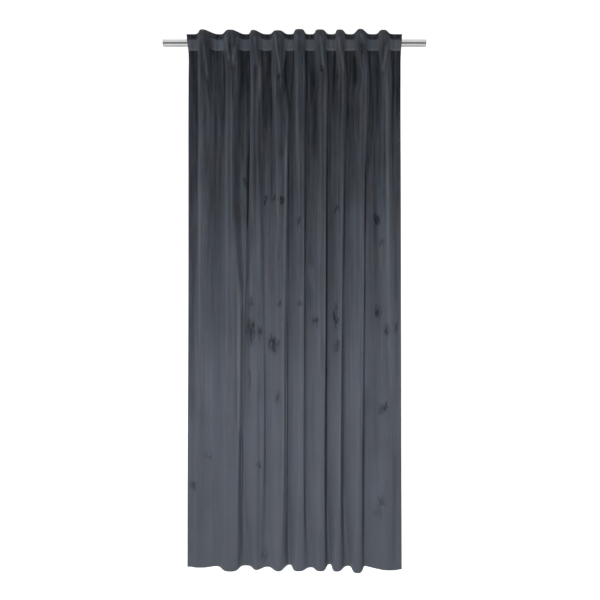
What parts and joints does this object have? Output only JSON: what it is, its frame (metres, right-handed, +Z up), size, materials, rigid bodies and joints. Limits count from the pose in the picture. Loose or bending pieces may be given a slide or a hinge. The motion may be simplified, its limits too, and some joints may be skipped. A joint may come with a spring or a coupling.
{
  "type": "curtain on a rod",
  "caption": "Full-length velvet curtain hanging in soft uneven folds, drawn back by hidden straps behind its heading onto a round metal rod.",
  "frame": {"origin": "on the rod's axis, at the middle of the rod's length", "axes": "+X along the rod to the right as seen from the room, +Y away from the room towards the wall, +Z up"},
  "size_m": [1.235, 0.1067, 2.4907],
  "materials": {
    "velvet": "slate grey velvet with a short dense pile",
    "strap_cloth": "plain woven strap in the colour of the cloth's back",
    "rod_steel": "polished",
    "plug_steel": "satin"
  },
  "bodies": {
    "root": {"curtain_panel": "velvet", "back_tab_01": "strap_cloth", "back_tab_02": "strap_cloth", "back_tab_03": "strap_cloth", "back_tab_04": "strap_cloth", "back_tab_05": "strap_cloth", "back_tab_06": "strap_cloth", "back_tab_07": "strap_cloth", "back_tab_08": "strap_cloth", "back_tab_09": "strap_cloth", "back_tab_10": "strap_cloth", "rod": "rod_steel", "rod_end_left": "plug_steel", "rod_end_right": "plug_steel"}
  },
  "joints": []
}
